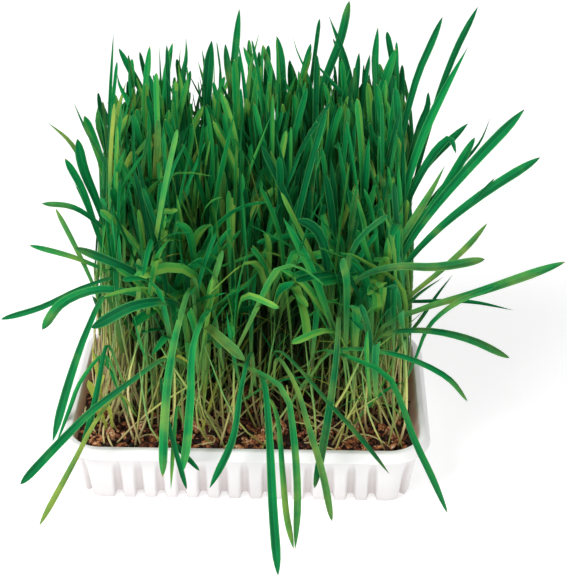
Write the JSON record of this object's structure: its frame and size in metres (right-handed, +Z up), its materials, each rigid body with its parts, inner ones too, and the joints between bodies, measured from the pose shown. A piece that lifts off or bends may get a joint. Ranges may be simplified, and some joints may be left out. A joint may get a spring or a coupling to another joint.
{
  "type": "wheatgrass tray",
  "caption": "Tall young wheatgrass growing densely in a shallow white plastic tray with a fluted wall, flared rim and bark chip cover, its outer leaves arching over the sides.",
  "frame": {"origin": "middle of the tray's underside, on the plane that the tray stands on", "axes": "+X along the tray's length, +Z up, -Y towards the front, where the longest leaves hang over the rim"},
  "size_m": [0.312, 0.1999, 0.272],
  "materials": {
    "white_plastic": "white moulded plastic with a soft sheen, stained brown inside near the soil",
    "growing_medium": "dark damp fibrous growing medium, matte",
    "bark": "rough matte bark chips, from dark brown to tan",
    "leaf": "fresh green grass leaves with a slight sheen, paler at the stems"
  },
  "bodies": {
    "root": {"tray": "white_plastic", "growing_medium": "growing_medium", "bark_cover": "bark", "wheatgrass": "leaf"}
  },
  "joints": []
}
